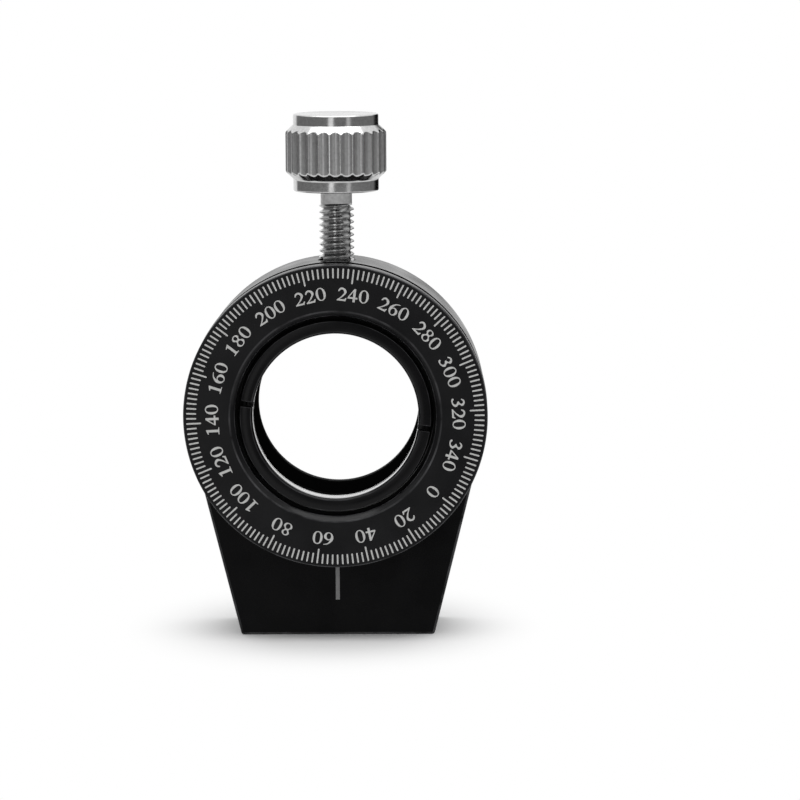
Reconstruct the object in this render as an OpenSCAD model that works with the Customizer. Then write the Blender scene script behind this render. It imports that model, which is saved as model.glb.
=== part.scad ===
// Rotation mount for a 12.7 mm optic.
// A housing stands on a post and carries a graduated cell that turns on the
// optical axis. A thumbscrew at the top presses a nylon pellet on the cell.
// The origin is the mouth of the post hole. The optical axis runs along Y,
// axis_h above the base, and the dial faces -Y.

/* [Housing] */
// Height of the optical axis above the base
axis_h = 15.8; // [15.2:0.1:18]
// Radius of the rounded top, about the optical axis
body_r = 10.4; // [10.2:0.1:10.5]
// Thickness of the housing along the optical axis
body_t = 7; // [6.8:0.1:8]
// Lean of each side from the vertical, in degrees
side_lean = 14; // [10:1:16]
// Chamfer along the outer edges
edge_chamfer = 0.2; // [0.1:0.05:0.3]

/* [Post hole] */
// Radius of the M4 hole at its major diameter
post_hole_r = 2.05; // [1.6:0.05:2.1]
// Depth of the full thread
post_hole_depth = 5; // [4:0.5:5]

/* [Dial] */
// Radius of the dial
dial_r = 10.55; // [10.5:0.05:11]
// Thickness of the dial
dial_t = 2.65; // [2.2:0.05:3]
// Gap between the dial and the housing
dial_gap = 0.15; // [0.1:0.05:0.3]
// Chamfer of the dial's rim
rim_chamfer = 0.12; // [0.05:0.01:0.15]
// Number of divisions in a full turn
divisions = 180; // [36, 72, 90, 120, 180]
// Divisions from one long mark to the next
long_every = 10; // [5, 10]
// Radius at which every mark starts
mark_outer_r = 10.33; // [10:0.01:10.35]
// Length of a short mark
short_mark = 0.7; // [0.5:0.05:0.8]
// Length of a long mark
long_mark = 1.03; // [0.9:0.01:1.2]
// Width of a mark
mark_w = 0.15; // [0.1:0.01:0.2]
// Depth of the engraving
engrave_depth = 0.06; // [0.04:0.01:0.1]
// Angle that the dial shows at the index line, in degrees
reading = 52.5; // [0:0.5:359.5]

/* [Index line] */
// Width of the index line
index_w = 0.28; // [0.2:0.01:0.4]
// Distance from the optical axis to the line's lower end
index_reach = 13.3; // [12:0.05:14]

/* [Cell] */
// Radius of the barrel that turns in the housing
barrel_r = 8.3; // [8.2:0.05:8.4]
// Radial running clearance of the barrel
running_gap = 0.05; // [0.02:0.01:0.08]
// Radius of the optic's seat, the optic thread's minor radius
seat_r = 6.45; // [6.4:0.01:6.5]
// Radius of the bore where the retaining ring engages, the thread's major radius
thread_bore_r = 6.8; // [6.78:0.01:6.82]
// Depth of the seat's rear shoulder behind the dial face
seat_depth = 8.3; // [8:0.1:8.5]
// Radius of the clear hole in the rear lip
lip_r = 5.7; // [5.6:0.05:6.2]
// Radius of the relief at the mouth of the bore
mouth_r = 6.98; // [6.9:0.01:7.05]
// Depth of that relief
mouth_depth = 1; // [0.8:0.1:1.2]
// Chamfer between the relief and the dial face
mouth_chamfer = 0.35; // [0.2:0.05:0.5]

/* [Retaining ring] */
// Outer radius of the retaining ring
ring_r = 6.72; // [6.7:0.01:6.74]
// Radius of the hole through the ring
ring_hole_r = 5.75; // [5.5:0.05:5.9]
// Thickness of the ring
ring_t = 1.6; // [1.4:0.1:1.6]
// Depth of the ring's face behind the dial face
ring_recess = 0.3; // [0.1:0.1:0.3]
// Width of the two spanner slots
slot_w = 0.38; // [0.3:0.02:0.6]
// Depth of the spanner slots
slot_depth = 0.8; // [0.5:0.1:1]
// Turn of the slots from the horizontal, in degrees
slot_turn = 8; // [0:1:90]

/* [Bearing] */
// Radius of the washer recesses in the housing
recess_r = 9.4; // [9.3:0.05:9.5]
// Depth of the front recess
front_recess = 0.6; // [0.5:0.05:0.7]
// Depth of the rear recess
rear_recess = 2.1; // [2:0.05:2.15]
// Thickness of the rear washer
rear_washer_t = 0.4; // [0.3:0.05:0.5]
// Height of the wave spring as fitted
spring_h = 0.5; // [0.4:0.05:0.5]
// Thickness of the spring strip
spring_t = 0.15; // [0.1:0.01:0.2]
// Number of waves
spring_waves = 3; // [3, 4]
// Thickness of the lock ring
lock_ring_t = 0.8; // [0.7:0.05:0.9]

/* [Thumbscrew] */
// Radius of the M2.5 stud
stud_r = 1.2; // [1.15:0.01:1.23]
// Radius of the fluted band
band_r = 3.54; // [3.4:0.01:3.8]
// Radius of the two plain collars
collar_r = 3; // [2.8:0.05:3.1]
// Height of the head's underside above the optical axis
head_base = 15.2; // [14.5:0.1:16]
// Number of flutes
flutes = 27; // [18:1:30]
// Depth of a flute
flute_depth = 0.16; // [0.1:0.01:0.2]

/* [Hidden] */

$fn = 96;
eps = 0.5;             // how far a cutter runs past the face it cuts
fine_chamfer = 0.1;    // breaks the small turned edges
washer_gap = 0.1;      // radial play of washers in their recesses

// Stations along the optical axis (world Y)
body_front = -body_t / 2;
body_back = body_t / 2;
dial_front = body_front - dial_gap - dial_t;
rear_floor = body_back - rear_recess;
spring_front = rear_floor + rear_washer_t;
lock_ring_front = spring_front + spring_h;
cell_back = lock_ring_front + lock_ring_t;
cell_len = cell_back - dial_front;

// Housing outline
foot_h = 0.01;         // thin slab that the hull draws the sides down to
base_half = (body_r - axis_h * sin(side_lean)) / cos(side_lean);
drill_point = post_hole_r * tan(31);
screw_hole_r = 1.32;
index_start = body_r - 0.2;

// Cell
rear_thread_r = 8;     // rear thread that takes the lock ring
thread_gap = 0.02;
lip_chamfer = 0.25;
seat_chamfer = 0.15;
seat_relief_w = 0.3;   // relief groove where the seat's thread meets the shoulder
ring_zone = ring_recess + ring_t + 0.1;    // depth at which the seat starts
zero_angle = 90 - reading;
division_angle = 360 / divisions;

// Thumbscrew, heights above the optical axis
pellet_r = 1.2;
pellet_t = 0.6;
touch_gap = 0.02;
pellet_base = barrel_r + touch_gap;
stud_end = pellet_base + pellet_t + touch_gap;
stud_tip_r = 0.9;
neck_r = 1.1;
neck_h = 0.7;
lower_collar_h = 0.85;
upper_collar_h = 0.75;
band_h = 2.8;
cone_h = 0.5;
flute_r = 0.46;
flute_turn = -89.2;    // puts a flute just right of the front
head_top = head_base + lower_collar_h + upper_collar_h + band_h + 2 * cone_h;

// Puts children, drawn from a face in the XY plane with depth along +Z, on
// the optical axis at station y. Their X stays X, and their Y points down.
module on_axis(y) {
    translate([0, y, axis_h]) rotate([-90, 0, 0]) children();
}

// Flat ring between two radii, from the XY plane up.
module flat_ring(inner, outer, thickness) {
    difference() {
        cylinder(r = outer, h = thickness);
        translate([0, 0, -eps]) cylinder(r = inner, h = thickness + 2 * eps);
    }
}

// ---------- housing ----------

// One profile of the block: a disc about the optical axis and a foot at the
// base, both drawn in by inset and length long along the optical axis.
module housing_profile(inset, length) {
    foot = base_half - inset / cos(side_lean);
    on_axis(-length / 2) cylinder(r = body_r - inset, h = length, $fn = 128);
    translate([-foot, -length / 2, 0]) cube([2 * foot, length, foot_h]);
}

// Round top, sides that run down tangent to it, and chamfered edges.
module housing_block() {
    hull() {
        housing_profile(0, body_t - 2 * edge_chamfer);
        housing_profile(edge_chamfer, body_t);
    }
}

// Tapped hole for the post, with a drill point at its end.
module post_hole() {
    translate([0, 0, -eps]) cylinder(r = post_hole_r, h = post_hole_depth + eps);
    translate([0, 0, post_hole_depth]) cylinder(r1 = post_hole_r, r2 = 0, h = drill_point);
}

// Index groove below the dial, or its paint at depth 0 above the groove.
module index_mark(above) {
    translate([-index_w / 2, body_front - above, axis_h - index_reach])
        cube([index_w, engrave_depth + above, index_reach - index_start]);
}

module housing() {
    color([0.10, 0.10, 0.11])
    difference() {
        housing_block();
        on_axis(body_front - eps) cylinder(r = recess_r, h = front_recess + eps);
        on_axis(rear_floor) cylinder(r = recess_r, h = rear_recess + eps);
        on_axis(body_front - eps) cylinder(r = barrel_r + running_gap, h = body_t + 2 * eps);
        translate([0, 0, axis_h]) cylinder(r = screw_hole_r, h = body_r + eps);
        post_hole();
        index_mark(eps);
    }
}

module index_fill() {
    color([0.80, 0.80, 0.78]) index_mark(0);
}

// ---------- rotating cell ----------

// Half section, with the radius along X and the depth behind the dial face along Y.
module cell_section() {
    shoulder = spring_front - dial_front;
    polygon([
        [mouth_r + mouth_chamfer, 0],
        [dial_r - rim_chamfer, 0],
        [dial_r, rim_chamfer],
        [dial_r, dial_t - rim_chamfer],
        [dial_r - rim_chamfer, dial_t],
        [barrel_r, dial_t],
        [barrel_r, shoulder],
        [rear_thread_r, shoulder],
        [rear_thread_r, cell_len - fine_chamfer],
        [rear_thread_r - fine_chamfer, cell_len],
        [lip_r + lip_chamfer, cell_len],
        [lip_r, cell_len - lip_chamfer],
        [lip_r, seat_depth],
        [thread_bore_r, seat_depth],
        [thread_bore_r, seat_depth - seat_relief_w],
        [seat_r, seat_depth - seat_relief_w],
        [seat_r, ring_zone + seat_chamfer],
        [seat_r + seat_chamfer, ring_zone],
        [thread_bore_r, ring_zone],
        [thread_bore_r, mouth_depth],
        [mouth_r, mouth_depth],
        [mouth_r, mouth_chamfer]
    ]);
}

// Every division mark as a bar, from above the dial face down to the engraved depth.
module scale_marks(above) {
    for (i = [0 : divisions - 1]) {
        len = i % long_every == 0 ? long_mark : short_mark;
        rotate(zero_angle + i * division_angle)
            translate([mark_outer_r - len, -mark_w / 2, -above])
                cube([len, mark_w, engrave_depth + above]);
    }
}

module rotation_cell() {
    color([0.11, 0.11, 0.12])
    on_axis(dial_front)
    difference() {
        rotate_extrude() cell_section();
        scale_marks(eps);
    }
}

module scale_fill() {
    color([0.82, 0.82, 0.80]) on_axis(dial_front) scale_marks(0);
}

module retaining_ring() {
    color([0.12, 0.12, 0.13])
    on_axis(dial_front + ring_recess)
    difference() {
        rotate_extrude()
            polygon([
                [ring_hole_r + 1.5 * fine_chamfer, 0],
                [ring_r - fine_chamfer, 0],
                [ring_r, fine_chamfer],
                [ring_r, ring_t - fine_chamfer],
                [ring_r - fine_chamfer, ring_t],
                [ring_hole_r, ring_t],
                [ring_hole_r, 1.5 * fine_chamfer]
            ]);
        rotate(slot_turn)
            translate([-ring_r - eps, -slot_w / 2, -eps])
                cube([2 * (ring_r + eps), slot_w, slot_depth + eps]);
    }
}

// ---------- bearing ----------

module front_washer() {
    color([0.92, 0.92, 0.90])
    on_axis(body_front - dial_gap)
        flat_ring(barrel_r + washer_gap, recess_r - washer_gap, front_recess + dial_gap);
}

module rear_washer() {
    color([0.92, 0.92, 0.90])
    on_axis(rear_floor)
        flat_ring(barrel_r + washer_gap, recess_r - washer_gap, rear_washer_t);
}

// Strip of rectangular section that rises and falls on its way round.
module wave_spring() {
    steps = 72;
    inner = rear_thread_r + washer_gap;
    outer = recess_r - 3 * washer_gap;
    rise = spring_h - spring_t - 2 * touch_gap;
    function lift(a) = touch_gap + rise * (1 - cos(spring_waves * a)) / 2;
    points = [for (i = [0 : steps - 1]) let (a = i * 360 / steps, z = lift(a))
        for (c = [[inner, z], [outer, z], [outer, z + spring_t], [inner, z + spring_t]])
            [c[0] * cos(a), c[0] * sin(a), c[1]]];
    faces = [for (i = [0 : steps - 1], k = [0 : 3])
        let (a = 4 * i, b = 4 * ((i + 1) % steps), n = (k + 1) % 4)
            each [[a + k, a + n, b + n], [a + k, b + n, b + k]]];
    color([0.62, 0.62, 0.64]) on_axis(spring_front) polyhedron(points, faces);
}

// Ring nut on the rear thread, with four spanner notches.
module lock_ring() {
    notch = [1.2, 1.0, 0.4];
    color([0.12, 0.12, 0.13])
    on_axis(lock_ring_front)
    difference() {
        flat_ring(rear_thread_r + thread_gap, recess_r - 2 * washer_gap, lock_ring_t);
        for (i = [0 : 3])
            rotate(45 + 90 * i)
                translate([recess_r - notch[0], -notch[1] / 2, lock_ring_t - notch[2]])
                    cube([notch[0], notch[1], notch[2] + eps]);
    }
}

// ---------- brake ----------

module brake_pellet() {
    color([0.90, 0.88, 0.80])
    translate([0, 0, axis_h + pellet_base])
        cylinder(r = pellet_r, h = pellet_t);
}

// Turned outline of the screw, with the height above the optical axis along Y.
module screw_section() {
    band_base = head_base + lower_collar_h + cone_h;
    polygon([
        [0, stud_end],
        [stud_tip_r, stud_end],
        [stud_r, stud_end + stud_r - stud_tip_r],
        [stud_r, head_base - neck_h - fine_chamfer],
        [neck_r, head_base - neck_h],
        [neck_r, head_base],
        [collar_r - fine_chamfer, head_base],
        [collar_r, head_base + fine_chamfer],
        [collar_r, head_base + lower_collar_h],
        [band_r, band_base],
        [band_r, band_base + band_h],
        [collar_r, band_base + band_h + cone_h],
        [collar_r, head_top - fine_chamfer],
        [collar_r - fine_chamfer, head_top],
        [0, head_top]
    ]);
}

// The flutes run through the cones, which gives the band its scalloped ends.
module thumbscrew() {
    color([0.76, 0.77, 0.78])
    translate([0, 0, axis_h])
    difference() {
        rotate_extrude() screw_section();
        for (i = [0 : flutes - 1])
            rotate(flute_turn + i * 360 / flutes)
                translate([band_r - flute_depth + flute_r, 0, head_base - eps])
                    cylinder(r = flute_r, h = head_top - head_base + 2 * eps);
    }
}

housing();
index_fill();
rotation_cell();
scale_fill();
retaining_ring();
front_washer();
rear_washer();
wave_spring();
lock_ring();
brake_pellet();
thumbscrew();
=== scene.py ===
"""Optical rotation mount: finished pieces, materials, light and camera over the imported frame."""
from math import cos, pi, radians, sin, sqrt, tan, tau

import bmesh
import bpy
from mathutils import Matrix, Vector


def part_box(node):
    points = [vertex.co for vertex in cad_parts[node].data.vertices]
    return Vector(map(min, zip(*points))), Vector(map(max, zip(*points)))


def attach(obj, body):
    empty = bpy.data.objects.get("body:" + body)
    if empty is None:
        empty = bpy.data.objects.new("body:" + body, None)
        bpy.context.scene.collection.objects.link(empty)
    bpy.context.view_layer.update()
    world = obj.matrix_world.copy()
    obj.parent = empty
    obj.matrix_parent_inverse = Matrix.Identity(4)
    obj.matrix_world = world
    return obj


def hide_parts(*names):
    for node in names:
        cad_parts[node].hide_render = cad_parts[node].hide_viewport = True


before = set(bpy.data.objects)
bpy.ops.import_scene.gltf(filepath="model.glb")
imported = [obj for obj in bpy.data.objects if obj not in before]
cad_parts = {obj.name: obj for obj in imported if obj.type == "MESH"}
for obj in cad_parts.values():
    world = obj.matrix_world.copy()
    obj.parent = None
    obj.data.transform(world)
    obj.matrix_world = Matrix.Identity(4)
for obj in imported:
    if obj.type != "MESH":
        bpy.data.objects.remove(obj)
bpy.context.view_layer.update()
SCENE = bpy.context.scene
MM = 0.001

# ---------- places taken from the frame ----------

cell_lo, cell_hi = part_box("rotation_cell")
body_lo, body_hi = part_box("housing")
ring_lo, ring_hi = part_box("retaining_ring")
nut_lo, nut_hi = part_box("lock_ring")
screw_lo, screw_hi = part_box("thumbscrew")

AXIS_H = (cell_lo.z + cell_hi.z) / 2      # height of the optical axis
DIAL_R = min(cell_hi.x, -cell_lo.x)
DIAL_FRONT, CELL_BACK = cell_lo.y, cell_hi.y
BODY_R = body_hi.x
BODY_FRONT, BODY_BACK = body_lo.y, body_hi.y
RING_FRONT, RING_BACK = ring_lo.y, ring_hi.y
NUT_FRONT, NUT_BACK = nut_lo.y, nut_hi.y

# Sizes that the boxes don't give
FACE_BACK, PAINT_BACK = 0.012 * MM, 0.002 * MM    # metal and paint behind the solids' own faces
HAIR = 0.01 * MM                          # a small clearance, and a margin for picking faces
OPTIC_PITCH, POST_PITCH, STUD_PITCH = 0.635 * MM, 0.7 * MM, 0.45 * MM

SIDE_LEAN = radians(14)
BORE_R, RECESS_R = 8.35 * MM, 9.4 * MM    # bearing bore and washer recesses
FRONT_RECESS, REAR_RECESS = 0.6 * MM, 2.1 * MM
SCREW_HOLE_R = 1.32 * MM
POST_R, POST_CREST_R, POST_DEPTH = 2.05 * MM, 1.66 * MM, 5 * MM
DRILL_POINT = radians(31)                 # slope of the cone that a drill leaves

DIAL_T = 2.65 * MM
GROOVE_R, GROOVE = DIAL_R - 0.14 * MM, (1.4 * MM, 2.48 * MM)    # grip groove round the dial's rim
BARREL_R, REAR_THREAD_R = 8.3 * MM, 8.0 * MM
LIP_R, LIP_CHAMFER = 5.7 * MM, 0.25 * MM
THREAD_R = 6.8 * MM                       # optic thread at its root in the bore
SEAT_R = 6.45 * MM                        # and at its crest
SEAT_DEPTH, RELIEF = 8.3 * MM, 0.3 * MM   # the shoulder, and the plain groove before it
MOUTH_R, MOUTH_DEPTH, MOUTH_CHAMFER = 6.98 * MM, 1.0 * MM, 0.35 * MM

RING_HOLE_R, RING_HOLE_CHAMFER = 5.75 * MM, 0.13 * MM
RING_CORE_R, RING_FLANGE, RING_CREST_R = 6.42 * MM, 0.2 * MM, 6.72 * MM
SLOT_W, SLOT_DEPTH, SLOT_TURN = 0.38 * MM, 0.8 * MM, radians(8)
NUT_NOTCHES, NOTCH_W, NOTCH_DEPTH, NOTCH_REACH = 4, 1.0 * MM, 0.4 * MM, 1.0 * MM


# ---------- mesh tools ----------

def on_optical_axis(y):
    """Places a shape drawn about +Z, from z = 0 up, on the optical axis at station y."""
    return Matrix.Translation((0, y, AXIS_H)) @ Matrix.Rotation(radians(-90), 4, "X")


def turned(section, steps=180, closed=True):
    """A solid of revolution about Z. The section is a list of (radius, height)."""
    bm = bmesh.new()
    points = [bm.verts.new((r, 0, z)) for r, z in section]
    pairs = zip(points, points[1:] + points[:1] if closed else points[1:])
    edges = [bm.edges.new(p) for p in pairs]
    bmesh.ops.spin(bm, geom=points + edges, cent=(0, 0, 0), axis=(0, 0, 1), dvec=(0, 0, 0),
                   angle=tau, steps=steps, use_merge=True, use_duplicate=False)
    clean(bm)
    return bm


def clean(bm):
    """Welds doubles and points every face outwards."""
    bmesh.ops.remove_doubles(bm, verts=bm.verts, dist=2e-7)
    bmesh.ops.dissolve_degenerate(bm, edges=bm.edges, dist=1e-7)
    bmesh.ops.recalc_face_normals(bm, faces=bm.faces)


def soften(bm, width, segments=3, sharper_than=28, keep=lambda edge: True):
    """Rounds the sharp edges and marks the rounded faces as edge, for the wear in the finish."""
    edge_mark = bm.faces.layers.float.get("edge") or bm.faces.layers.float.new("edge")
    sharp = [e for e in bm.edges
             if e.is_manifold and e.calc_face_angle(0) > radians(sharper_than) and keep(e)]
    made = bmesh.ops.bevel(bm, geom=sharp, offset=width, offset_type="OFFSET", segments=segments,
                           profile=0.5, affect="EDGES", clamp_overlap=True, material=-1)
    for face in made["faces"]:
        face[edge_mark] = 1.0


def helix_wall(inner, outer, pitch, length, internal, steps=72):
    """The wall of a 60 degree thread about Z, from z = 0 to length, run out at both ends.
    The vertex value deep is 1 at the root and 0 at the crest."""
    root, crest = (outer, inner) if internal else (inner, outer)
    mid = (root + crest) / 2
    tooth = [(0.0, root), (0.13, root), (0.32, mid), (0.48, crest), (0.62, crest),
             (0.80, mid), (1.0, root)]    # (share of a pitch, radius)
    bm = bmesh.new()
    points = [bm.verts.new((r, 0, (t - 1.5) * pitch)) for t, r in tooth]
    edges = [bm.edges.new(p) for p in zip(points, points[1:])]
    turns = int(length / pitch) + 4
    bmesh.ops.spin(bm, geom=points + edges, cent=(0, 0, 0), axis=(0, 0, 1),
                   dvec=(0, 0, pitch / steps), angle=tau * turns, steps=steps * turns,
                   use_merge=False, use_duplicate=False)
    bmesh.ops.remove_doubles(bm, verts=bm.verts, dist=4e-6)
    for height, normal in ((0, (0, 0, -1)), (length, (0, 0, 1))):
        bmesh.ops.bisect_plane(bm, geom=bm.verts[:] + bm.edges[:] + bm.faces[:], dist=1e-8,
                               plane_co=(0, 0, height), plane_no=normal, clear_outer=True)
    run_out = abs(outer - inner) * 1.15   # over this height the tooth sinks into the root
    deep = bm.verts.layers.float.new("deep")
    for v in bm.verts:
        radius = v.co.xy.length
        near = min(v.co.z, length - v.co.z)
        free = max(0.0, min(1.0, near / run_out))
        limit = root + (crest - root) * free
        new = max(radius, limit) if internal else min(radius, limit)
        v.co.xy *= new / radius
        v[deep] = (crest - new) / (crest - root)
    return bm


def open_loops(bm, height):
    """The boundary edges that lie at one height."""
    return [e for e in bm.edges
            if e.is_boundary and all(abs(v.co.z - height) < 1e-6 for v in e.verts)]


def ring_edges(bm, radius, height, sides):
    """The edges of a new circle about Z."""
    made = bmesh.ops.create_circle(bm, cap_ends=False, radius=radius, segments=sides)
    bmesh.ops.translate(bm, verts=made["verts"], vec=(0, 0, height))
    return list({e for v in made["verts"] for e in v.link_edges})


def threaded_rod(crest, root, pitch, length):
    """A closed threaded rod about Z."""
    bm = helix_wall(root, crest, pitch, length, internal=False)
    for height in (0, length):
        bmesh.ops.contextual_create(bm, geom=open_loops(bm, height))
    clean(bm)
    return bm


def threaded_sleeve(inner, outer, pitch, length, internal, plain_r, sides=72):
    """A closed tube with a thread on one wall and a plain wall of plain_r on the other."""
    bm = helix_wall(inner, outer, pitch, length, internal)
    low, high = open_loops(bm, 0), open_loops(bm, length)
    plain_low = ring_edges(bm, plain_r, -length, sides)
    plain_high = ring_edges(bm, plain_r, 2 * length, sides)
    for pair in ((low, plain_low), (plain_low, plain_high), (plain_high, high)):
        bmesh.ops.bridge_loops(bm, edges=pair[0] + pair[1])
    for v in bm.verts:
        v.co.z = max(0.0, min(length, v.co.z))
    clean(bm)
    return bm


def block(size, place):
    """A block of size (x, y, z) about the origin, put in its place."""
    bm = bmesh.new()
    bmesh.ops.create_cube(bm, size=1)
    bm.transform(place @ Matrix.Diagonal((*size, 1)))
    return bm


def as_mesh(bm, name):
    """Turns a bmesh into a mesh and frees it."""
    mesh = bpy.data.meshes.new(name)
    bm.to_mesh(mesh)
    bm.free()
    return mesh


def in_scene(name, data):
    """A new object in the scene's own collection."""
    obj = bpy.data.objects.new(name, data)
    SCENE.collection.objects.link(obj)
    return obj


def evaluated_mesh(obj):
    """A new mesh of an object with its modifiers or its curve worked out."""
    return bpy.data.meshes.new_from_object(obj.evaluated_get(bpy.context.evaluated_depsgraph_get()))


def cut_away(bm, cutters):
    """The shape of bm less every cutter, as a new bmesh."""
    blank = in_scene("blank", as_mesh(bm, "blank"))
    tools = [in_scene("cutter", as_mesh(c, "cutter")) for c in cutters]
    for tool in tools:
        cut = blank.modifiers.new("cut", "BOOLEAN")
        cut.operation, cut.solver, cut.object = "DIFFERENCE", "EXACT", tool
    shape = evaluated_mesh(blank)
    result = bmesh.new()
    result.from_mesh(shape)
    for obj in [blank] + tools:
        bpy.data.meshes.remove(obj.data)
    bpy.data.meshes.remove(shape)
    bmesh.ops.remove_doubles(result, verts=result.verts, dist=2e-7)
    return result


def finished(bm, name, body, slot, material, smooth=32, stands_for=()):
    """A piece on its body and in its finish, smooth but for its sharp edges."""
    obj = in_scene(name, as_mesh(bm, name))
    for face in obj.data.polygons:
        face.use_smooth = True
    obj.data.set_sharp_from_angle(angle=radians(smooth))
    obj.data.materials.append(material)
    even = obj.modifiers.new("even_shading", "WEIGHTED_NORMAL")
    even.keep_sharp, even.weight = True, 80
    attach(obj, body)
    if stands_for:
        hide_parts(*stands_for)
    return obj


def off_axis(point):
    """How far a point lies from the optical axis."""
    return Vector((point.x, point.z - AXIS_H)).length


def second_finish(obj, material, chosen):
    """Gives the faces that chosen(face) picks another finish."""
    obj.data.materials.append(material)
    for face in obj.data.polygons:
        if chosen(face):
            face.material_index = 1


# ---------- shared shader effects ----------

PER_MM = 1000.0                           # from a count per millimetre to a texture scale


def new_group(name, inputs, outputs):
    """A node group with float inputs {name: default} and outputs {name: socket type}."""
    group = bpy.data.node_groups.new(name, "ShaderNodeTree")
    for label, value in inputs.items():
        socket = group.interface.new_socket(label, in_out="INPUT", socket_type="NodeSocketFloat")
        socket.default_value = value
    for label, kind in outputs.items():
        group.interface.new_socket(label, in_out="OUTPUT", socket_type=kind)
    return group, group.nodes.new("NodeGroupInput"), group.nodes.new("NodeGroupOutput")


def add(tree, kind, links=(), **settings):
    """A node with its settings, its links as {input: socket}, and in_0, in_1 ... as values."""
    node = tree.nodes.new(kind)
    for key, value in settings.items():
        if key.startswith("in_"):
            node.inputs[int(key[3:])].default_value = value
        else:
            setattr(node, key, value)
    for target, source in dict(links).items():
        tree.links.new(source, node.inputs[target])
    return node


def math_node(tree, operation, a, b=None, clamp=False):
    """A Math node's output; a and b are numbers or sockets."""
    node = add(tree, "ShaderNodeMath", operation=operation, use_clamp=clamp)
    for i, value in enumerate((a, b)):
        if value is None:
            continue
        if isinstance(value, (int, float)):
            node.inputs[i].default_value = value
        else:
            tree.links.new(value, node.inputs[i])
    return node.outputs[0]


def noise(tree, vector, scale, detail, **settings):
    """A noise texture's value; scale is a number or a socket."""
    node = add(tree, "ShaderNodeTexNoise", {"Vector": vector}, **settings)
    if isinstance(scale, (int, float)):
        node.inputs["Scale"].default_value = scale
    else:
        tree.links.new(scale, node.inputs["Scale"])
    node.inputs["Detail"].default_value = detail
    return node.outputs["Fac"]


def make_turning_marks():
    """Fine rings that a lathe leaves round an axis along Y, or along Z with Upright at 1."""
    group, given, out = new_group(
        "turning_marks", {"Axis Height": 0.0, "Upright": 0.0, "Rings per mm": 8.0, "Waver": 0.15},
        {"Height": "NodeSocketFloat", "Tone": "NodeSocketFloat"})
    coords = add(group, "ShaderNodeTexCoord")
    place = add(group, "ShaderNodeSeparateXYZ", {0: coords.outputs["Object"]})
    height = math_node(group, "SUBTRACT", place.outputs["Z"], given.outputs["Axis Height"])
    flat = math_node(group, "POWER", place.outputs["X"], 2.0)

    def radius_with(other):
        """The distance from an axis, from X and one more coordinate."""
        squares = math_node(group, "ADD", flat, math_node(group, "POWER", other, 2.0))
        return math_node(group, "SQRT", squares)

    def lying_or_upright(a, b):
        """The value a for an axis along Y, b for an axis along Z."""
        mix = add(group, "ShaderNodeMix", {0: given.outputs["Upright"], 2: a, 3: b},
                  data_type="FLOAT")
        return mix.outputs[0]

    radius = lying_or_upright(radius_with(height), radius_with(place.outputs["Y"]))
    along = lying_or_upright(place.outputs["Y"], place.outputs["Z"])
    scale = math_node(group, "MULTIPLY", given.outputs["Rings per mm"], PER_MM)
    lathe = add(group, "ShaderNodeCombineXYZ", {0: math_node(group, "MULTIPLY", radius, scale),
                                                1: math_node(group, "MULTIPLY", along, scale)})
    rings = noise(group, lathe.outputs[0], 1.0, 3.0, noise_dimensions="2D")
    patches = noise(group, coords.outputs["Object"], 450.0, 4.0)
    waver = math_node(group, "MULTIPLY", patches, given.outputs["Waver"])
    group.links.new(math_node(group, "ADD", rings, waver), out.inputs["Height"])
    group.links.new(patches, out.inputs["Tone"])
    return group


def make_blasted_grain():
    """Fine pits of a bead-blasted and anodised surface, with soft cloudy tone."""
    group, given, out = new_group(
        "blasted_grain", {"Grains per mm": 9.0, "Clouds per mm": 0.35},
        {"Height": "NodeSocketFloat", "Tone": "NodeSocketFloat"})
    coords = add(group, "ShaderNodeTexCoord")
    for label, detail, result in (("Grains per mm", 5.0, "Height"), ("Clouds per mm", 3.0, "Tone")):
        scale = math_node(group, "MULTIPLY", given.outputs[label], PER_MM)
        group.links.new(noise(group, coords.outputs["Object"], scale, detail), out.inputs[result])
    return group


def make_edge_wear():
    """Where a rounded edge has lost some of its finish, broken up by noise."""
    group, given, out = new_group("edge_wear", {"Amount": 0.5, "Patches per mm": 0.7},
                                  {"Mask": "NodeSocketFloat"})
    coords = add(group, "ShaderNodeTexCoord")
    marked = add(group, "ShaderNodeAttribute", attribute_name="edge")
    scale = math_node(group, "MULTIPLY", given.outputs["Patches per mm"], PER_MM)
    patches = noise(group, coords.outputs["Object"], scale, 5.0)
    bare = add(group, "ShaderNodeMapRange", {0: patches}, in_1=0.3, in_2=0.75)
    worn = math_node(group, "MULTIPLY", marked.outputs["Fac"], bare.outputs[0])
    group.links.new(math_node(group, "MULTIPLY", worn, given.outputs["Amount"]), out.inputs["Mask"])
    return group


TURNING, GRAIN, WEAR = make_turning_marks(), make_blasted_grain(), make_edge_wear()


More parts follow.
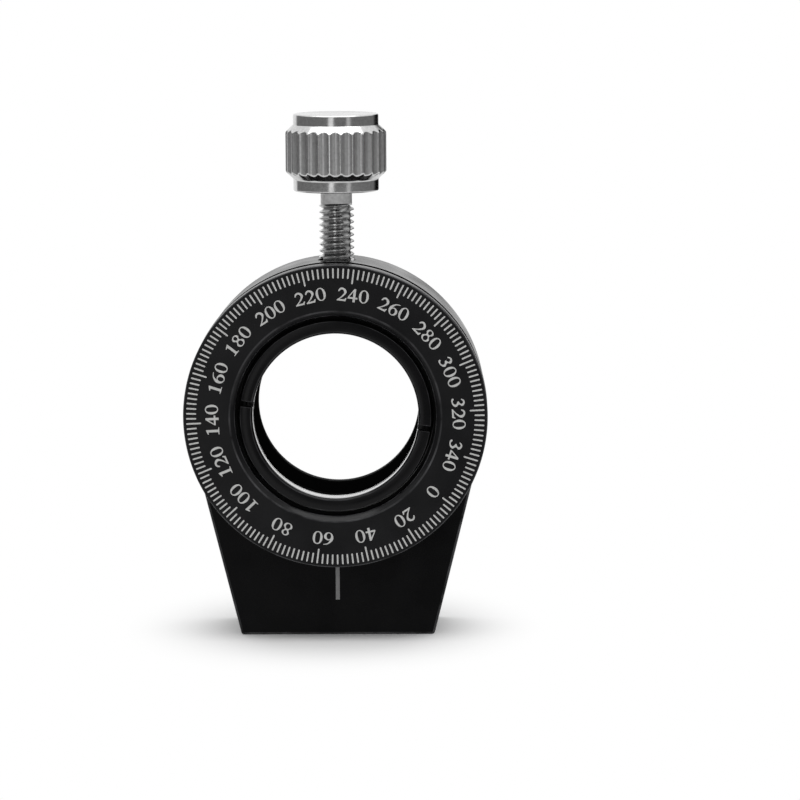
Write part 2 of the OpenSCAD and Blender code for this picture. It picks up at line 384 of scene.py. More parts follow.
class Finish:
    """A Principled material built up from the shared effects."""

    def __init__(self, name, color, roughness, metallic=0.0, **sockets):
        self.material = bpy.data.materials.new(name)
        self.material.use_nodes = True
        self.tree = self.material.node_tree
        self.shader = self.tree.nodes["Principled BSDF"]
        self.color, self.roughness = color, roughness
        self.shader.inputs["Base Color"].default_value = (*color, 1)
        self.shader.inputs["Roughness"].default_value = roughness
        self.shader.inputs["Metallic"].default_value = metallic
        for label, value in sockets.items():
            self.shader.inputs[label.replace("_", " ")].default_value = value
        self.heights = []

    def effect(self, group, **values):
        """Places a shared effect with its own values."""
        node = self.tree.nodes.new("ShaderNodeGroup")
        node.node_tree = group
        for label, value in values.items():
            node.inputs[label.replace("_", " ")].default_value = value
        return node

    def vary_color(self, mask, other):
        """Mixes the base colour towards other by a mask that changes over the surface."""
        mix = self.tree.nodes.new("ShaderNodeMix")
        mix.data_type = "RGBA"
        source = self.shader.inputs["Base Color"]
        self.tree.links.new(mask, mix.inputs[0])       # 6 and 7 are its two colours
        if source.is_linked:
            self.tree.links.new(source.links[0].from_socket, mix.inputs[6])
        else:
            mix.inputs[6].default_value = source.default_value
        mix.inputs[7].default_value = (*other, 1)
        self.tree.links.new(mix.outputs[2], source)
        return self

    def vary_roughness(self, mask, low, high):
        """Runs the roughness from low to high over the middle half of a mask."""
        span = add(self.tree, "ShaderNodeMapRange", {0: mask}, in_1=0.25, in_2=0.75,
                   in_3=low, in_4=high)
        self.tree.links.new(span.outputs[0], self.shader.inputs["Roughness"])
        return self

    def relief(self, height, depth_um):
        """Adds a bump of a real depth in micrometres."""
        bump = self.tree.nodes.new("ShaderNodeBump")
        bump.inputs["Strength"].default_value = 1.0
        bump.inputs["Distance"].default_value = depth_um * 1e-6
        self.tree.links.new(height, bump.inputs["Height"])
        target = self.shader.inputs["Normal"]
        if target.is_linked:
            self.tree.links.new(target.links[0].from_socket, bump.inputs["Normal"])
        self.tree.links.new(bump.outputs["Normal"], target)
        return self


def anodised(name, color, roughness, turned_rings=0.0, ring_depth=0.7, grain_depth=0.7,
             worn=0.35, **sockets):
    """Black anodised aluminium: dyed oxide, with bare grey showing on the worn edges."""
    finish = Finish(name, color, roughness, **{"Specular_IOR_Level": 0.16, **sockets})
    grain = finish.effect(GRAIN)
    wear = finish.effect(WEAR, Amount=worn)
    finish.vary_color(grain.outputs["Tone"], tuple(c * 1.9 for c in color))
    finish.vary_color(wear.outputs["Mask"], (0.22, 0.22, 0.23))
    finish.vary_roughness(grain.outputs["Tone"], roughness - 0.06, roughness + 0.08)
    finish.relief(grain.outputs["Height"], grain_depth)
    if turned_rings:
        turning = finish.effect(TURNING, Axis_Height=AXIS_H, Rings_per_mm=turned_rings)
        finish.relief(turning.outputs["Height"], ring_depth)
    return finish.material


def bare_metal(name, color, roughness, axis_height=0.0, upright=1.0, depth=0.5, painted_root_shade=None):
    """Bright turned metal with fine tool marks round its own axis, and painted shade deep in its
    thread.
    """
    finish = Finish(name, color, roughness, metallic=1.0)
    turning = finish.effect(TURNING, Axis_Height=axis_height, Upright=upright,
                            Rings_per_mm=14.0, Waver=0.05)
    wear = finish.effect(WEAR, Patches_per_mm=1.5)
    stains = finish.effect(GRAIN, Clouds_per_mm=4.5)
    finish.vary_color(stains.outputs["Tone"], tuple(c * 0.6 for c in color))
    finish.vary_color(wear.outputs["Mask"], (0.8, 0.8, 0.8))
    # Painted shade: the colour darkens towards the thread's root, by the value deep, for the shade
    # between the flanks.
    if painted_root_shade:
        deep = add(finish.tree, "ShaderNodeAttribute", attribute_name="deep")
        finish.vary_color(deep.outputs["Fac"], painted_root_shade)
    finish.vary_roughness(turning.outputs["Tone"], roughness - 0.03, roughness + 0.06)
    finish.relief(turning.outputs["Height"], depth)
    return finish.material


def matt_fill(name, color, roughness, **sockets):
    """Paint, nylon or washer plastic: a matt body with fine grain and soft stains."""
    finish = Finish(name, color, roughness, **sockets)
    grains = finish.effect(GRAIN, Grains_per_mm=14.0, Clouds_per_mm=1.2)
    finish.vary_color(grains.outputs["Tone"], tuple(c * 0.75 for c in color))
    finish.vary_roughness(grains.outputs["Tone"], roughness - 0.08, roughness + 0.1)
    finish.relief(grains.outputs["Height"], 1.5)
    return finish.material


BODY_BLACK = anodised("blasted_black_housing", (0.0018, 0.0018, 0.002), 0.22,
                      Specular_IOR_Level=0.1)
DIAL_BLACK = anodised("turned_black_dial", (0.0055, 0.0055, 0.006), 0.22,
                      turned_rings=7.0, worn=0.3)
RING_BLACK = anodised("turned_black_ring", (0.0025, 0.0025, 0.0028), 0.20,
                      turned_rings=10.0, worn=0.22)
BORE_BLACK = anodised("burnished_black_bore", (0.16, 0.16, 0.16), 0.12,
                      turned_rings=10.0, ring_depth=0.08, grain_depth=0.08, worn=0.2,
                      Metallic=0.7, Coat_Weight=1.0, Coat_Roughness=0.05)
THREAD_BLACK = anodised("matt_black_thread", (0.002, 0.002, 0.002), 0.62,
                        worn=0.05, Specular_IOR_Level=0.06)
MARK_PAINT = matt_fill("engraving_paint", (0.58, 0.58, 0.57), 0.62)
INDEX_PAINT = matt_fill("worn_index_paint", (0.24, 0.24, 0.24), 0.62)
WASHER_WHITE = matt_fill("washer_plastic", (0.80, 0.80, 0.78), 0.5)
NYLON = matt_fill("natural_nylon", (0.74, 0.71, 0.62), 0.45, Subsurface_Weight=0.1)
SPRING_STEEL = bare_metal("rolled_spring_steel", (0.45, 0.45, 0.47), 0.3,
                          axis_height=AXIS_H, upright=0.0)
SCREW_METAL = bare_metal("turned_bright_screw", (0.78, 0.78, 0.78), 0.15, depth=0.25)
FLUTE_METAL = bare_metal("milled_bright_flutes", (0.66, 0.66, 0.66), 0.34, depth=0.6)
# Painted light: the neck's base colour is raised near white, above the rest of the screw's steel,
# to lift the neck that the collar above shades.
NECK_METAL_PAINTED_LIGHT = bare_metal("blasted_neck_painted_light", (0.98, 0.98, 0.98), 0.55)
# The stud's thread roots are darkened to this grey: painted shade.
STUD_METAL = bare_metal("rolled_bright_stud", (0.96, 0.96, 0.96), 0.2, depth=0.15,
                        painted_root_shade=(0.48, 0.48, 0.48))


# ---------- housing ----------

def housing_outline():
    """The housing's front outline as one face in XZ: a round top, and sides down to the base."""
    bm = bmesh.new()
    side = Vector((cos(SIDE_LEAN), 0, -sin(SIDE_LEAN)))
    start = bm.verts.new(Vector((0, 0, AXIS_H)) + side * BODY_R)
    bmesh.ops.spin(bm, geom=[start], cent=(0, 0, AXIS_H), axis=(0, -1, 0), dvec=(0, 0, 0),
                   angle=pi + 2 * SIDE_LEAN, steps=150, use_merge=False, use_duplicate=False)
    ends = [v for v in bm.verts if len(v.link_edges) == 1]
    foot_x = (BODY_R - AXIS_H * sin(SIDE_LEAN)) / cos(SIDE_LEAN)
    feet = [bm.verts.new((foot_x if v.co.x > 0 else -foot_x, 0, 0)) for v in ends]
    for pair in ((ends[0], feet[0]), (feet[0], feet[1]), (feet[1], ends[1])):
        bm.edges.new(pair)
    bmesh.ops.contextual_create(bm, geom=bm.edges[:])
    return bm


def housing_blank():
    """The block with its outer edges rounded, before the holes."""
    bm = housing_outline()
    bmesh.ops.translate(bm, verts=bm.verts, vec=(0, BODY_FRONT + FACE_BACK, 0))
    made = bmesh.ops.extrude_face_region(bm, geom=bm.faces[:])
    depth = BODY_BACK - BODY_FRONT - FACE_BACK
    bmesh.ops.translate(bm, verts=[v for v in made["geom"] if isinstance(v, bmesh.types.BMVert)],
                        vec=(0, depth, 0))
    clean(bm)
    soften(bm, 0.17 * MM)
    return bm


def bearing_cutter():
    """The through bore and the two washer recesses as one turned plug."""
    past = 1 * MM
    front, back = BODY_FRONT - past, BODY_BACK + past
    bm = turned([(0, front), (RECESS_R, front), (RECESS_R, BODY_FRONT + FRONT_RECESS),
                 (BORE_R, BODY_FRONT + FRONT_RECESS), (BORE_R, BODY_BACK - REAR_RECESS),
                 (RECESS_R, BODY_BACK - REAR_RECESS), (RECESS_R, back), (0, back)], closed=False)
    bm.transform(on_optical_axis(0))
    return bm


def drill(radius, low, high, point=0.0):
    """A drill about Z, with a cone of the given height on its upper end."""
    section = [(0, low), (radius, low), (radius, high), (0, high + point)]
    return turned(section, steps=64, closed=False)


def build_housing():
    """The block with its bearing bore, screw hole and post hole, and the post hole's thread."""
    crown = AXIS_H + BODY_R
    body = cut_away(housing_blank(), [
        bearing_cutter(),
        drill(SCREW_HOLE_R, crown - 3 * MM, crown + 1 * MM),
        drill(POST_R, -1 * MM, POST_DEPTH, point=POST_R * tan(DRILL_POINT))])
    soften(body, 0.05 * MM, segments=2, sharper_than=40)
    clean(body)
    finished(body, "housing_block", "housing", "black_anodised", BODY_BLACK,
             stands_for=("housing",))
    start, end = 0.02 * MM, POST_DEPTH - 0.03 * MM
    thread = threaded_sleeve(POST_CREST_R, POST_R - HAIR, POST_PITCH, end - start, True, POST_R)
    bmesh.ops.translate(thread, verts=thread.verts, vec=(0, 0, start))
    finished(thread, "post_hole_thread", "housing", "black_anodised", BODY_BLACK, smooth=50)


# ---------- rotating cell ----------

def in_groove(station):
    """Whether a distance behind the dial's face lies in the groove round its rim."""
    return GROOVE[0] - HAIR < station < GROOVE[1] + HAIR


def build_cell():
    """The dial with its grooved rim and the barrel, turned from one bar, and the optic thread."""
    length = CELL_BACK - DIAL_FRONT
    shoulder = NUT_FRONT - DIAL_FRONT - 0.5 * MM       # the barrel steps down before the nut
    seat_start = RING_BACK - DIAL_FRONT + 0.1 * MM     # the bore's thread shows behind the ring
    section = [(MOUTH_R + MOUTH_CHAMFER, FACE_BACK), (DIAL_R, FACE_BACK), (DIAL_R, GROOVE[0]),
               (GROOVE_R, GROOVE[0]), (GROOVE_R, GROOVE[1]), (DIAL_R, GROOVE[1]),
               (DIAL_R, DIAL_T), (BARREL_R, DIAL_T),
               (BARREL_R, shoulder), (REAR_THREAD_R, shoulder), (REAR_THREAD_R, length),
               (LIP_R + LIP_CHAMFER, length), (LIP_R, length - LIP_CHAMFER), (LIP_R, SEAT_DEPTH),
               (THREAD_R, SEAT_DEPTH), (THREAD_R, MOUTH_DEPTH), (MOUTH_R, MOUTH_DEPTH),
               (MOUTH_R, MOUTH_CHAMFER + FACE_BACK)]
    bm = turned(section, steps=240)
    soften(bm, 0.07 * MM, sharper_than=35, keep=lambda edge: not in_groove(edge.verts[0].co.z))
    clean(bm)
    bm.transform(on_optical_axis(DIAL_FRONT))
    cell = finished(bm, "dial_and_barrel", "cell", "dial_black", DIAL_BLACK,
                    stands_for=("rotation_cell",))

    def left_matt(face):
        """The bore behind its mouth, and the floor and walls of the groove."""
        reach, station = off_axis(face.center), face.center.y - DIAL_FRONT
        if reach < MOUTH_R:
            return station > MOUTH_DEPTH - 0.1 * MM
        return in_groove(station) and reach < DIAL_R - 2 * HAIR

    second_finish(cell, THREAD_BLACK, left_matt)
    thread = threaded_sleeve(SEAT_R, THREAD_R - 0.5 * HAIR, OPTIC_PITCH,
                             SEAT_DEPTH - seat_start - RELIEF, True, THREAD_R)
    thread.transform(on_optical_axis(DIAL_FRONT + seat_start))
    finished(thread, "optic_bore_thread", "cell", "dial_black", THREAD_BLACK, smooth=50)


def build_retaining_ring():
    """The ring with its two spanner slots and the thread round it."""
    depth = RING_BACK - RING_FRONT
    flange = 0.22 * MM                                 # thickness of the plain front edge
    bm = turned([(RING_HOLE_R + RING_HOLE_CHAMFER, 0), (RING_CORE_R + RING_FLANGE, 0),
                 (RING_CORE_R + RING_FLANGE, flange), (RING_CORE_R, flange + RING_FLANGE),
                 (RING_CORE_R, depth), (RING_HOLE_R, depth), (RING_HOLE_R, RING_HOLE_CHAMFER)],
                steps=200)
    across = 20 * MM                                   # past the rim on both sides
    slots = block((across, SLOT_W, 2 * SLOT_DEPTH), Matrix.Rotation(SLOT_TURN, 4, "Z"))
    bm = cut_away(bm, [slots])
    soften(bm, 0.04 * MM, segments=2, sharper_than=40)
    clean(bm)
    bm.transform(on_optical_axis(RING_FRONT))
    ring = finished(bm, "retaining_ring_body", "ring", "ring_black", RING_BLACK,
                    stands_for=("retaining_ring",))
    second_finish(ring, BORE_BLACK, lambda face: off_axis(face.center) < RING_HOLE_R + 3 * HAIR
                  and abs(face.normal.y) < 0.3)
    start = flange + 0.02 * MM
    thread = threaded_sleeve(RING_CORE_R + 2 * HAIR, RING_CREST_R, OPTIC_PITCH,
                             depth - start - HAIR, False, RING_CORE_R - 0.15 * MM)
    thread.transform(on_optical_axis(RING_FRONT + start))
    finished(thread, "retaining_ring_thread", "ring", "ring_black", THREAD_BLACK, smooth=50)


def build_lock_ring():
    """The rear ring nut with its spanner notches."""
    inner, outer = REAR_THREAD_R + 2 * HAIR, (nut_hi.x - nut_lo.x) / 2
    depth = NUT_BACK - NUT_FRONT
    bm = turned([(inner, 0), (outer, 0), (outer, depth), (inner, depth)], steps=200)
    at_rim = Matrix.Translation((outer, 0, depth))
    bm = cut_away(bm, [block((2 * NOTCH_REACH, NOTCH_W, 2 * NOTCH_DEPTH),
                             Matrix.Rotation(tau * (i + 0.5) / NUT_NOTCHES, 4, "Z") @ at_rim)
                       for i in range(NUT_NOTCHES)])
    soften(bm, 0.06 * MM, segments=2, sharper_than=40)
    clean(bm)
    bm.transform(on_optical_axis(NUT_FRONT))
    finished(bm, "lock_ring_nut", "cell", "ring_black", RING_BLACK, stands_for=("lock_ring",))


# ---------- marks and numbers on the dial ----------

# Outlines of the engraved figures, one unit high. Each point is (x, y, corner),
# where corner is 1 at a corner and 0 on a curve.
FIGURES = {
    "0": [[(0, 1, 0), (.375, .5, 0), (0, 0, 0), (-.375, .5, 0)],
          [(0, .93, 0), (.19, .5, 0), (0, .07, 0), (-.19, .5, 0)]],
    "1": [[(-.25, .8, 1), (-.25, .87, 1), (.03, 1, 1), (.1, 1, 1), (.1, .08, 1), (.27, .05, 1),
           (.27, 0, 1), (-.27, 0, 1), (-.27, .05, 1), (-.09, .08, 1), (-.09, .83, 1)]],
    "2": [[(-.36, 0, 1), (-.36, .05, 1), (.02, .42, 0), (.13, .69, 0), (-.06, .87, 0),
           (-.26, .69, 1), (-.33, .71, 1), (-.23, .93, 0), (.01, 1, 0), (.31, .74, 0),
           (.16, .42, 0), (-.16, .13, 1), (.2, .13, 1), (.3, .25, 1), (.37, .24, 1), (.3, 0, 1)]],
    "3": [[(-.31, .76, 1), (-.2, .94, 0), (-.01, 1, 0), (.25, .8, 0), (.13, .58, 0),
           (.31, .3, 0), (-.06, 0, 0), (-.33, .07, 0), (-.3, .17, 0), (-.08, .09, 0),
           (.13, .28, 0), (-.11, .48, 1), (-.11, .54, 1), (.08, .73, 0), (-.06, .88, 0),
           (-.25, .73, 1)]],
    "4": [[(.05, 1, 1), (.19, 1, 1), (.19, .37, 1), (.36, .37, 1), (.36, .24, 1), (.19, .24, 1),
           (.19, 0, 1), (.01, 0, 1), (.01, .24, 1), (-.38, .24, 1), (-.38, .34, 1)],
          [(.01, .79, 1), (.01, .37, 1), (-.27, .37, 1)]],
    "6": [[(.33, 1, 1), (-.08, .86, 0), (-.36, .38, 0), (0, 0, 0), (.36, .31, 0), (.08, .61, 0),
           (-.14, .56, 1), (.03, .83, 0), (.33, .94, 1)],
          [(-.01, .53, 0), (.17, .29, 0), (0, .06, 0), (-.18, .31, 0)]],
    "8": [[(0, 1, 0), (.29, .78, 0), (.15, .55, 0), (.34, .26, 0), (0, 0, 0), (-.34, .26, 0),
           (-.16, .53, 0), (-.3, .77, 0)],
          [(0, .93, 0), (.14, .77, 0), (.01, .6, 0), (-.15, .78, 0)],
          [(0, .47, 0), (.18, .25, 0), (0, .07, 0), (-.18, .26, 0)]],
}
FIGURE_H, FIGURE_STEP, FIGURE_MID_R = 0.915 * MM, 0.755 * MM, 8.53 * MM
NUMBER_SHIFT = {1: 0.07 * MM, 2: -0.20 * MM, 3: 0.17 * MM}    # off the long mark, along the number
READING = 52.5                            # the value that stands at the index line
MARK_OUTER_R, MARK_W = 10.33 * MM, 0.11 * MM
SHORT_MARK, LONG_MARK = 0.7 * MM, 1.03 * MM
MARK_STEP, NUMBER_STEP = 2, 20            # degrees
PLATE_T = 0.05 * MM                       # thickness of the paint's plates


def figure_mesh(outlines):
    """One figure as a thin plate that stands on its baseline in XY, its face at z = 0."""
    curve = bpy.data.curves.new("figure", "CURVE")
    curve.dimensions, curve.fill_mode, curve.resolution_u = "2D", "BOTH", 5
    curve.extrude = 0.5 * PLATE_T / FIGURE_H           # scaled up with the figure later on
    for outline in outlines:
        spline = curve.splines.new("BEZIER")
        spline.bezier_points.add(len(outline) - 1)
        spline.use_cyclic_u = True
        for point, (x, y, corner) in zip(spline.bezier_points, outline):
            point.co = (x, y, -curve.extrude)
            kind = "VECTOR" if corner else "AUTO"
            point.handle_left_type = point.handle_right_type = kind
    obj = in_scene("figure", curve)
    mesh = evaluated_mesh(obj)
    bpy.data.objects.remove(obj)
    return mesh


def engraved_line(width, length):
    """A painted line along Y with rounded ends, its face at z = 0."""
    bm = block((width, length, PLATE_T), Matrix.Translation((0, 0, -PLATE_T / 2)))
    upright = [e for e in bm.edges if abs(e.verts[0].co.z - e.verts[1].co.z) > HAIR]
    bmesh.ops.bevel(bm, geom=upright, offset=0.45 * width, offset_type="OFFSET", segments=2,
                    profile=0.5, affect="EDGES", material=-1)
    return as_mesh(bm, "line")


def put_on_dial(bm, plate, value, x, radius):
    """Adds a plate to bm at a value of the scale, x along and radius out from the axis."""
    piece = plate.copy()
    turn = Matrix.Rotation(pi + radians(READING - value), 4, "Z")
    piece.transform(turn @ Matrix.Translation((x, radius, 0)))
    bm.from_mesh(piece)
    bpy.data.meshes.remove(piece)


def finish_paint(bm, plates, name, **which):
    """Brings plates drawn in XY to the dial's face as one piece, and drops their patterns."""
    for plate in plates:
        bpy.data.meshes.remove(plate)
    bm.transform(Matrix.Translation((0, DIAL_FRONT + PAINT_BACK, AXIS_H))
                 @ Matrix.Rotation(radians(90), 4, "X"))
    clean(bm)
    finished(bm, name, "cell", "mark_white", MARK_PAINT, smooth=60, **which)


def build_marks():
    """The 180 division marks, with a long one every 20 degrees."""
    short, long = (engraved_line(MARK_W, length) for length in (SHORT_MARK, LONG_MARK))
    bm = bmesh.new()
    for value in range(0, 360, MARK_STEP):
        plate, length = (short, SHORT_MARK) if value % NUMBER_STEP else (long, LONG_MARK)
        put_on_dial(bm, plate, value, 0, MARK_OUTER_R - length / 2)
    finish_paint(bm, (short, long), "dial_marks", stands_for=("scale_fill",))


def build_numbers():
    """The numbers 0 to 340, each by its long mark, with their tops outwards."""
    plates = {name: figure_mesh(outlines) for name, outlines in FIGURES.items()}
    for plate in plates.values():
        plate.transform(Matrix.Scale(FIGURE_H, 4))
    bm = bmesh.new()
    for value in range(0, 360, NUMBER_STEP):
        text = str(value)
        for i, name in enumerate(text):
            x = (i - (len(text) - 1) / 2) * FIGURE_STEP + NUMBER_SHIFT[len(text)]
            put_on_dial(bm, plates[name], value, x, FIGURE_MID_R - FIGURE_H / 2)
    finish_paint(bm, plates.values(), "dial_numbers")


# ---------- thumbscrew ----------

FLUTES = 27
FLUTE_R, FLUTE_DEPTH, FLUTE_TURN = 0.46 * MM, 0.16 * MM, radians(-89.2)
BAND_R, COLLAR_R, NECK_R, STUD_R = 3.538 * MM, 3.0 * MM, 1.1 * MM, 1.235 * MM
STUD_ROOT_R = 0.96 * MM
HEAD_BASE = screw_hi.z - 5.4 * MM
LOWER_COLLAR, UPPER_COLLAR, CONE, BAND = 0.85 * MM, 0.75 * MM, 0.5 * MM, 2.8 * MM
NECK_FOOT = HEAD_BASE - 0.7 * MM
COLLAR_EDGE, BAND_EDGE = 0.13 * MM, 0.12 * MM    # rounding of the collars and of the fluted band


def flute_limit(angle):
    """How far out the flutes leave the band at an angle."""
    step = tau / FLUTES
    off = (angle - FLUTE_TURN + step / 2) % step - step / 2
    centre = BAND_R - FLUTE_DEPTH + FLUTE_R
    reach = FLUTE_R ** 2 - (centre * sin(off)) ** 2
    return centre * cos(off) - sqrt(reach) if reach > 0 else BAND_R


def rounded(points, reaches, steps=5):
    """An open outline with its corners rounded, each over its own reach along both sides."""
    outline = []
    for i, (point, reach) in enumerate(zip(points, reaches)):
        corner = Vector(point)
        if not reach:
            outline.append(point)
            continue
        start = corner + (Vector(points[i - 1]) - corner).normalized() * reach
        end = corner + (Vector(points[i + 1]) - corner).normalized() * reach
        for k in range(steps + 1):
            t = k / steps
            outline.append(tuple(start.lerp(corner, t).lerp(corner.lerp(end, t), t)))
    return outline


def build_screw_head():
    """The two collars, the two cones and the band between them, with flutes through all three."""
    foot, top = HEAD_BASE + LOWER_COLLAR, screw_hi.z
    low, high = foot + CONE, foot + CONE + BAND
    slope = CONE / (BAND_R - COLLAR_R)
    corners = [(0, HEAD_BASE), (COLLAR_R, HEAD_BASE), (COLLAR_R, foot), (BAND_R, low),
               (BAND_R, high), (COLLAR_R, top - UPPER_COLLAR), (COLLAR_R, top), (0, top)]
    reaches = [0, COLLAR_EDGE, 0.11 * MM, BAND_EDGE, BAND_EDGE, 0.04 * MM, COLLAR_EDGE, 0]
    bm = turned(rounded(corners, reaches), steps=FLUTES * 24, closed=False)
    for v in bm.verts:
        radius = v.co.xy.length
        if radius < COLLAR_R + 0.06 * MM:              # the collars stay round
            continue
        angle = Vector((1, 0)).angle_signed(v.co.xy, 0)
        depth = BAND_R - min(BAND_R, flute_limit(-angle))
        v.co.xy *= (radius - depth) / radius
        # The flutes run out along the cones, so the band's ends come out scalloped
        if v.co.z < low + 1.2 * BAND_EDGE:
            v.co.z -= depth * slope
        elif v.co.z > high - 1.2 * BAND_EDGE:
            v.co.z += depth * slope
    bmesh.ops.recalc_face_normals(bm, faces=bm.faces)
    head = finished(bm, "thumbscrew_head", "screw", "stainless", SCREW_METAL, smooth=30,
                    stands_for=("thumbscrew",))
    second_finish(head, FLUTE_METAL, lambda face: face.center.xy.length < BAND_R - HAIR
                  and low + BAND_EDGE < face.center.z < high - BAND_EDGE)


def build_screw_shank():
    """The plain neck, flared a little into the head, and the threaded stud below it."""
    foot, top = NECK_FOOT - 0.3 * MM, HEAD_BASE + 0.05 * MM
    outline = rounded([(0, foot), (NECK_R, foot), (NECK_R, HEAD_BASE - 0.02 * MM),
                       (NECK_R + 0.1 * MM, top), (0, top)], [0, 0, 0.06 * MM, 0, 0])
    neck = turned(outline, steps=96, closed=False)
    finished(neck, "thumbscrew_neck", "screw", "stainless", NECK_METAL_PAINTED_LIGHT, smooth=30)
    stud = threaded_rod(STUD_R, STUD_ROOT_R, STUD_PITCH, NECK_FOOT - screw_lo.z)
    bmesh.ops.translate(stud, verts=stud.verts, vec=(0, 0, screw_lo.z))
    finished(stud, "thumbscrew_stud", "screw", "stainless", STUD_METAL, smooth=50)


# ---------- frame nodes that stay ----------

def dress_frame_nodes():
    """Gives the solids that stay their own finishes."""
    for node, material in (("index_fill", INDEX_PAINT),
                           ("front_washer", WASHER_WHITE), ("rear_washer", WASHER_WHITE),
                           ("wave_spring", SPRING_STEEL), ("brake_pellet", NYLON)):
        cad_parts[node].data.materials.clear()
        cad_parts[node].data.materials.append(material)


# ---------- studio ----------

FLOOR_LIFT = 0.02                         # keeps the deepest shadow off black
SHADOW_R, FLOOR_FADE_R = 0.007, 0.020     # the floor's shadow fades to white between these
SOFT_LEVEL = 0.58                         # the even light from all round
ROOM_LEVEL, TABLE_LEVEL = 0.19, 0.85
WINDOWS = ((-11.5, 8, 1.0), (36, 7, 0.4))     # azimuth to the right, half width in degrees, level
BOX_PLACE, BOX_SIZE, BOX_RADIANCE = (0.0, -0.01, 0.17), (0.16, 0.14), 3.0
CAMERA_PLACE, LENS = (0.0085, -0.2941, 0.0542), 189
PAN, TILT, ROLL = radians(0.8), radians(-7.37), radians(-0.32)


def grey(level):
    """A grey as a colour with full alpha."""
    return (level, level, level, 1)


def ramp(tree, value, start, end):
    """0 below start and 1 above end, with a soft step between; start may be the larger."""
    node = add(tree, "ShaderNodeMapRange", {0: value}, in_1=start, in_2=end)
    node.interpolation_type = "SMOOTHSTEP"
    return node.outputs[0]


def seen_directly(tree, path):
    """1 where the camera looks at something, straight or through glass."""
    return math_node(tree, "MAXIMUM", path.outputs["Is Camera Ray"],
                     path.outputs["Is Transmission Ray"])


def build_floor():
    """A pale floor that keeps the mount's shadow close by, paints white over the shadow's outer
    part, and runs out into the white background.
    """
    bm = bmesh.new()
    bmesh.ops.create_grid(bm, x_segments=1, y_segments=1, size=1.5)
    floor = in_scene("studio_floor", as_mesh(bm, "studio_floor"))
    material = bpy.data.materials.new("pale_floor")
    material.use_nodes = True
    tree = material.node_tree
    shader = tree.nodes["Principled BSDF"]
    shader.inputs["Base Color"].default_value = grey(0.86)
    shader.inputs["Roughness"].default_value = 0.9
    shader.inputs["Specular IOR Level"].default_value = 0.1
    path = add(tree, "ShaderNodeLightPath")
    white = add(tree, "ShaderNodeEmission", in_0=grey(1), in_1=1.0)
    lift = add(tree, "ShaderNodeEmission", in_0=grey(FLOOR_LIFT), in_1=1.0)
    lifted = add(tree, "ShaderNodeAddShader", {0: shader.outputs[0], 1: lift.outputs[0]})
    coords = add(tree, "ShaderNodeTexCoord")
    # Painted light: the white laid over the shadow comes in sooner at the sides than in front, and
    # sooner on the right than on the left.
    oval = add(tree, "ShaderNodeVectorMath", {0: coords.outputs["Object"]},
               operation="MULTIPLY_ADD", in_1=(1.3, 1, 1), in_2=(0.0006, 0, 0))
    reach = add(tree, "ShaderNodeVectorMath", {0: oval.outputs[0]}, operation="LENGTH")
    far = ramp(tree, reach.outputs["Value"], SHADOW_R, FLOOR_FADE_R)
    seen = seen_directly(tree, path)
    near = add(tree, "ShaderNodeMixShader", {0: seen, 1: shader.outputs[0], 2: lifted.outputs[0]})
    away = math_node(tree, "MULTIPLY", seen, far)
    plain = add(tree, "ShaderNodeMixShader", {0: away, 1: near.outputs[0], 2: white.outputs[0]})
    through = add(tree, "ShaderNodeBsdfTransparent")
    mix = add(tree, "ShaderNodeMixShader", {0: path.outputs["Is Glossy Ray"],
                                            1: plain.outputs[0], 2: through.outputs[0]})
    tree.links.new(mix.outputs[0], tree.nodes["Material Output"].inputs["Surface"])
    floor.data.materials.append(material)


def build_room(tree):
    """What bright surfaces mirror: a white wall behind, a white ceiling, a grey room in front
    with two tall windows, a dark corner at the right, and a white table, dark under the mount.
    Its limits are parts of the direction looked in: x to the right, y to the back, z up."""

    def less(value):
        """1 minus a value."""
        return math_node(tree, "SUBTRACT", 1.0, value)

    coords = add(tree, "ShaderNodeTexCoord")
    place = add(tree, "ShaderNodeSeparateXYZ", {0: coords.outputs["Generated"]})
    x, y, z = place.outputs["X"], place.outputs["Y"], place.outputs["Z"]
    corner = math_node(tree, "MULTIPLY", ramp(tree, x, 0.12, 0.3), ramp(tree, y, 0.99, 0.95))
    lit = math_node(tree, "MULTIPLY", ramp(tree, y, 0.52, 0.74), less(corner))
    white = math_node(tree, "MAXIMUM", lit, ramp(tree, z, 0.3, 0.5))
    room = math_node(tree, "MULTIPLY", ramp(tree, y, 0.72, 0.5), ROOM_LEVEL)
    turn = math_node(tree, "ARCTAN2", x, math_node(tree, "MULTIPLY", y, -1.0))
    for middle, half, bright in WINDOWS:
        off = math_node(tree, "ABSOLUTE", math_node(tree, "SUBTRACT", turn, radians(middle)))
        window = ramp(tree, off, radians(half), radians(half * 0.6))
        room = math_node(tree, "ADD", room, math_node(tree, "MULTIPLY", window, bright))
    level = math_node(tree, "MAXIMUM", math_node(tree, "MULTIPLY", white, 0.96), room)
    under = math_node(tree, "MULTIPLY", ramp(tree, z, -0.56, -0.7), ramp(tree, y, -0.12, 0.06))
    table = math_node(tree, "MULTIPLY", less(under), TABLE_LEVEL)
    below = ramp(tree, z, -0.2, -0.32)
    kept = math_node(tree, "MULTIPLY", level, less(below))
    return math_node(tree, "ADD", kept, math_node(tree, "MULTIPLY", table, below), clamp=True)


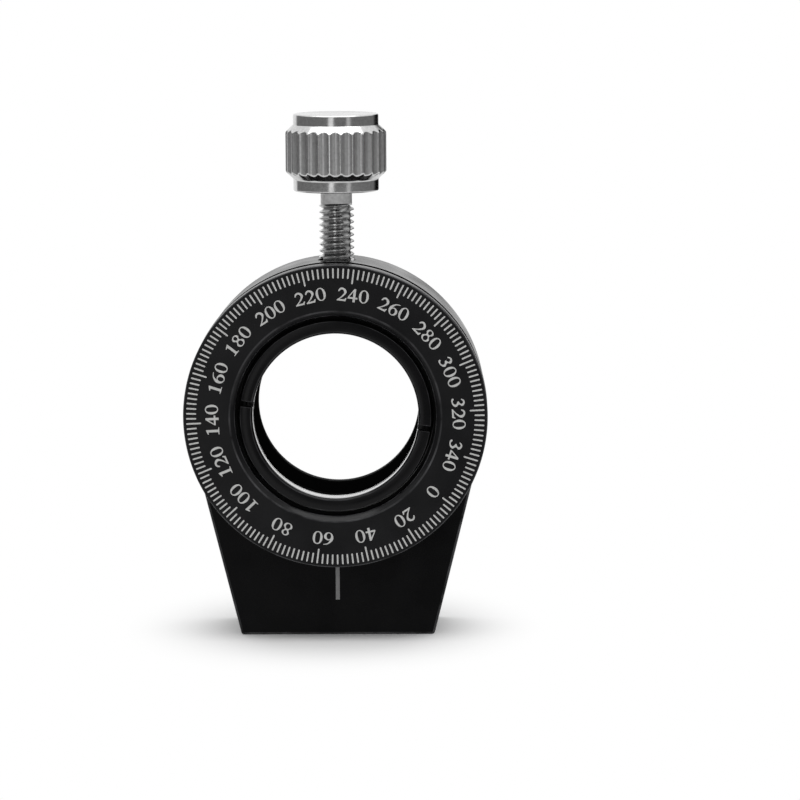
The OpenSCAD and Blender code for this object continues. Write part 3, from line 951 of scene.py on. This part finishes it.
def build_world():
    """White to the camera, an even grey for the soft light, and the room to reflections."""
    world = bpy.data.worlds.new("studio")
    SCENE.world = world
    world.use_nodes = True
    tree = world.node_tree
    base = tree.nodes["Background"]
    base.inputs["Color"].default_value = grey(SOFT_LEVEL)
    base.inputs["Strength"].default_value = 1.0
    reflected = add(tree, "ShaderNodeBackground", {0: build_room(tree)})
    white = add(tree, "ShaderNodeBackground", in_0=grey(1))
    path = add(tree, "ShaderNodeLightPath")
    first = add(tree, "ShaderNodeMixShader", {0: path.outputs["Is Glossy Ray"],
                                              1: base.outputs[0], 2: reflected.outputs[0]})
    second = add(tree, "ShaderNodeMixShader", {0: seen_directly(tree, path),
                                               1: first.outputs[0], 2: white.outputs[0]})
    tree.links.new(second.outputs[0], tree.nodes["World Output"].inputs["Surface"])


def softbox(name, place, aim, size, radiance):
    """An area light of size (width, height) at place, turned to aim, with a given radiance."""
    light = bpy.data.lights.new(name, "AREA")
    light.shape = "RECTANGLE"
    light.size, light.size_y = size
    light.energy = radiance * pi * size[0] * size[1]
    obj = in_scene(name, light)
    obj.location = place
    obj.rotation_mode = "QUATERNION"
    obj.rotation_quaternion = (Vector(aim) - Vector(place)).to_track_quat("-Z", "Y")


def build_studio():
    """The floor, the white surroundings and one soft box overhead."""
    build_floor()
    build_world()
    softbox("overhead_box", BOX_PLACE, (0, 0, AXIS_H), BOX_SIZE, BOX_RADIANCE)


def build_camera():
    """A long lens in front of the mount, a little to its right and above it."""
    camera = bpy.data.cameras.new("camera")
    camera.lens, camera.sensor_width = LENS, 36
    camera.clip_start, camera.clip_end = 0.01, 10
    obj = in_scene("camera", camera)
    obj.matrix_world = (Matrix.Translation(CAMERA_PLACE)
                        @ Matrix.Rotation(PAN, 4, "Z")
                        @ Matrix.Rotation(radians(90) + TILT, 4, "X")
                        @ Matrix.Rotation(ROLL, 4, "Z"))
    SCENE.camera = obj


SCENE.view_settings.view_transform = "Standard"
build_housing()
build_cell()
build_retaining_ring()
build_lock_ring()
build_marks()
build_numbers()
build_screw_head()
build_screw_shank()
dress_frame_nodes()
build_studio()
build_camera()
